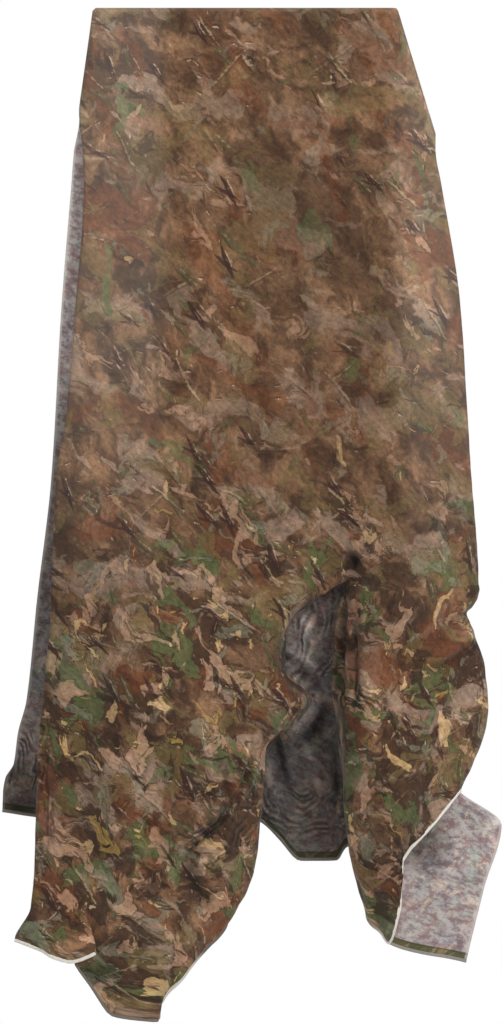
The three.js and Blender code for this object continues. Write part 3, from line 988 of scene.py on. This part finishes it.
def wrong_side_colour(graph, colour, tone):
    """The print shows through faintly, in a haze of pale thread that is thinner in the dark."""
    to_cut, to_selvedge, _ = graph.parts(graph.uv("edges"))
    blotch = graph.noise(graph.turned(graph.uv("print"), 25, (0.6, 1, 1)), 90.0, 6.0, 0.0, 0.75)
    haze = graph.mix(graph.step(blotch, 0.38, 0.62), linear(*HAZE[0]), linear(*HAZE[1]))
    hazy = graph.mix(graph.between(tone, 0.35, 1.0, 0.4, 0.6), graph.shaded(colour, 1.5), haze)
    turned_hem = graph.step(to_cut, (TURNED_HEM + 0.4) * MM, (TURNED_HEM - 0.4) * MM)
    colour = graph.mix(turned_hem, hazy, graph.mix(0.5, colour, linear(*HEM_STRIP)))
    bound = graph.step(to_selvedge, (BINDING + 0.5) * MM, (BINDING - 0.5) * MM)
    return graph.mix(graph.times(bound, 0.7), colour, linear(*BINDING_COLOUR))


def print_side_colour(graph, colour):
    """The print, paler under the veil of light that comes through the mesh."""
    veil = graph.parts(graph.uv("veil"))[0]
    paler = graph.shaded(colour, graph.scaled(veil, 0.34, 1.0))
    return graph.mix(graph.times(veil, 0.14), paler, linear(*VEIL_OF_LIGHT))


def line_along(graph, distance, place, half_width, soft_from, strength, colour, paint):
    """A fine line drawn over a colour at a place, in millimetres, of a distance, in metres."""
    off = graph.math("ABSOLUTE", graph.math("SUBTRACT", distance, place * MM))
    mask = graph.step(off, half_width * MM, soft_from * MM)
    return graph.mix(graph.times(mask, strength), colour, linear(*paint))


def gather_folds(graph):
    """The fine gathers: 1 on a fold, -1 between two, and 0 where there are none."""
    fold, strength, _ = graph.parts(graph.uv("gathers"))
    wander = graph.noise(graph.uv("print"), 55.0, 2.0)
    turn = graph.times(graph.scaled(wander, 0.9, fold), 2 * math.pi)
    return graph.times(graph.math("COSINE", turn), strength)


def cloth_material(name, inside):
    material, graph, shader = new_material(name)
    to_cut = graph.parts(graph.uv("edges"))[0]
    from_fold = graph.parts(graph.uv("flat"))[1]
    print_tone, wrong_tone, _ = graph.parts(graph.uv("tone"))
    tone = wrong_tone if inside else print_tone
    colour = camouflage_colour(graph)
    if inside:
        colour = wrong_side_colour(graph, colour, tone)
    else:
        colour = print_side_colour(graph, colour)
    colour = line_along(graph, to_cut, TURNED_HEM - STITCH_INSET, 1.2, 0.6, 0.5, colour, STITCHING)
    colour = line_along(graph, from_fold, DARK_LINE, 2.5, 1.0, 0.35, colour, DARK_LINE_COLOUR)
    weave = mesh_weave(graph, WEAVE_PITCH * MM)
    gather = gather_folds(graph)
    # Painted light and shade: the painted tones, and the gathers, darker between their folds and lighter on
    # them
    shade = graph.times(graph.between(weave, 0, 1, 0.8, 1.08), tone)
    shade = graph.times(shade, graph.between(gather, -1, 1, 0.5, 1.3))
    graph.tree.links.new(graph.shaded(colour, shade), shader.inputs["Base Color"])
    crumple = graph.noise(graph.uv("print"), 60.0, 4.0, 0.4 if inside else 0.0)
    normal = graph.bumped(crumple, 0.6, 4.0 if inside else 1.5)
    normal = graph.bumped(gather, 0.8, 2.0, normal)
    normal = graph.bumped(weave, 0.5, 0.3, normal)
    graph.tree.links.new(normal, shader.inputs["Normal"])
    shader.inputs["Roughness"].default_value = 0.85
    shader.inputs["Specular IOR Level"].default_value = 0.25
    shader.inputs["Sheen Weight"].default_value = 0.1
    shader.inputs["Sheen Roughness"].default_value = 0.5
    return material


# Colours of the overlock thread: dark in painted shade, and its two whites
THREAD_IN_SHADE = (72, 64, 54)
THREAD_WHITES = ((240, 234, 224), (212, 202, 188))


def thread_material():
    material, graph, shader = new_material("overlock_thread")
    run, around, _ = graph.parts(graph.uv("run"))
    slant = graph.scaled(around, 0.004, run)
    stitches = graph.math("COSINE", graph.times(slant, 2 * math.pi / (OVERLOCK_STITCH * MM)))
    mottled = graph.step(graph.noise(graph.uv("run"), 160.0, 3.0), 0.4, 0.7)
    colour = graph.mix(mottled, linear(*THREAD_WHITES[0]), linear(*THREAD_WHITES[1]))
    # Painted shade: the thread turns dark where its place along the hem lies in shade
    bright = graph.parts(graph.uv("tone"))[0]
    colour = graph.mix(bright, linear(*THREAD_IN_SHADE), colour)
    graph.tree.links.new(colour, shader.inputs["Base Color"])
    graph.tree.links.new(graph.bumped(stitches, 0.8, 0.5), shader.inputs["Normal"])
    shader.inputs["Roughness"].default_value = 0.8
    return material


# ---- Edging -----------------------------------------------------------------------------------------

OVERLOCK_SIDES = 8  # of the edging's section

# How light the white thread is at places across each hem: 1 is white, 0 dark with painted shade
OVERLOCK_PAINTED_TONES = {
    "overlock_left": [
        (0, 1), (0.15, 1), (0.17, 0.15), (0.35, 0.15),
        (0.38, 0.8), (0.47, 0.7), (0.5, 0.1), (0.7, 0.1),
    ],
    "overlock_right": [(0.7, 0.1), (0.76, 0.3), (0.79, 0.8), (0.85, 1), (1, 1)],
    "overlock_back": [
        (0, 0.15), (0.12, 0.15), (0.2, 0.4), (0.4, 0.15), (0.74, 0.1), (0.8, 0.35), (1, 0.35),
    ],
}


def make_overlock(name, edge, across, material):
    """A flat thread edging swept along a cut end, upright and centred on the cloth's last points."""
    down = np.array([0.0, 0.0, -1.0])
    sides = OVERLOCK_SIDES
    along = np.gradient(edge, axis=0)
    along /= np.linalg.norm(along, axis=1, keepdims=True)
    wide = down - (along @ down)[:, None] * along
    wide /= np.linalg.norm(wide, axis=1, keepdims=True)
    thick = np.cross(along, wide)
    turn = np.arange(sides) * 2 * math.pi / sides
    ring = (
        np.cos(turn)[None, :, None] * wide[:, None] * OVERLOCK_WIDTH / 2
        + np.sin(turn)[None, :, None] * thick[:, None] * OVERLOCK_THICKNESS / 2
    ) * MM
    points = (edge[:, None] + ring).reshape(-1, 3)
    index = np.arange(len(points)).reshape(len(edge), sides)
    ahead = np.roll(index, -1, axis=1)
    cells = np.stack([index[:-1], ahead[:-1], ahead[1:], index[1:]], axis=-1).reshape(-1, 4)
    mesh = make_mesh(name, points, cells)
    run = np.concatenate([[0], np.cumsum(np.linalg.norm(np.diff(edge, axis=0), axis=1))])
    around = np.arange(sides) / sides
    uv = np.stack(np.broadcast_arrays(run[:, None], around[None, :]), axis=-1).reshape(-1, 2)
    add_uv(mesh, "run", cells, uv)
    tone = np.interp(across, *zip(*OVERLOCK_PAINTED_TONES[name]))
    tone = np.stack([np.repeat(tone, sides), np.zeros(len(points))], axis=-1)
    add_uv(mesh, "tone", cells, tone)
    mesh.materials.append(material)
    return add_object(name, mesh)


# ---- Stage ------------------------------------------------------------------------------------------

CAMERA_DISTANCE = 4.0
PIXEL = 1.5 * MM  # how much of the net one pixel of the image shows
IMAGE_SIZE = (503, 1024)
ORIGIN_PIXEL = (245, 8)  # the top fold's middle in the image
FLOOR_Z = -2.2
ROOM_LIGHT = 0.4  # strength of the even light from all around


def make_camera():
    width, height = IMAGE_SIZE
    centre_x = (width / 2 - ORIGIN_PIXEL[0]) * PIXEL
    centre_z = -(height / 2 - ORIGIN_PIXEL[1]) * PIXEL
    data = bpy.data.cameras.new("camera")
    data.sensor_fit = "VERTICAL"
    data.sensor_height = 24
    data.lens = data.sensor_height * CAMERA_DISTANCE / (height * PIXEL)
    camera = add_object("camera", data)
    camera.location = (centre_x, -CAMERA_DISTANCE, centre_z)
    camera.rotation_euler = (math.pi / 2, 0, 0)
    bpy.context.scene.camera = camera


def make_light(name, place, target, size, watts):
    data = bpy.data.lights.new(name, "AREA")
    data.shape = "RECTANGLE"
    data.size, data.size_y = size
    data.energy = watts
    light = add_object(name, data)
    light.location = place
    light.rotation_euler = (Vector(target) - Vector(place)).to_track_quat("-Z", "Y").to_euler()


def make_stage():
    floor_material, _, shader = new_material("floor_paint")
    shader.inputs["Base Color"].default_value = (0.95, 0.95, 0.95, 1)
    shader.inputs["Roughness"].default_value = 0.9
    points = np.array([(-3, -3, 0), (3, -3, 0), (3, 3, 0), (-3, 3, 0)], float) + (0, 0, FLOOR_Z)
    mesh = make_mesh("floor", points, np.array([[0, 1, 2, 3]]))
    mesh.materials.append(floor_material)
    floor = add_object("floor", mesh)
    # The room looks white behind the net, but lights it only softly
    world = bpy.data.worlds.new("studio")
    world.use_nodes = True
    graph = Graph(world.node_tree)
    looked_at = graph.add("ShaderNodeLightPath").outputs["Is Camera Ray"]
    strength = graph.scaled(looked_at, 1 - ROOM_LIGHT, ROOM_LIGHT)
    background = world.node_tree.nodes["Background"]
    background.inputs["Color"].default_value = (1, 1, 1, 1)
    world.node_tree.links.new(strength, background.inputs["Strength"])
    bpy.context.scene.world = world
    make_light("key", (2.2, -3.0, 1.2), (0, 0, -0.7), (1.4, 1.4), 118)
    make_light("fill", (-2.6, -2.6, -0.2), (0, 0, -0.8), (2.0, 2.0), 14)
    make_light("top", (0, 0.4, 3.2), (0, 0, FLOOR_Z), (3.0, 3.0), 120)
    make_light("back", (-1.4, 3.2, 0.6), (0, 0, -0.7), (2.0, 2.0), 70)


# ---- Putting it together ----------------------------------------------------------------------------

make_camera()
make_stage()
bpy.context.scene.view_settings.view_transform = "Standard"

net, hems = make_net(cloth_material("print_side", False), cloth_material("wrong_side", True))
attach(net, "root")
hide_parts("camouflage_net")

thread = thread_material()
places = places_across()
parting = int(np.argmin(abs(places - PARTING)))
for name, edge, across in zip(OVERLOCK_PAINTED_TONES, hems, (places[: parting + 1], places[parting:], places)):
    edging = make_overlock(name, edge, across, thread)
    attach(edging, "root")
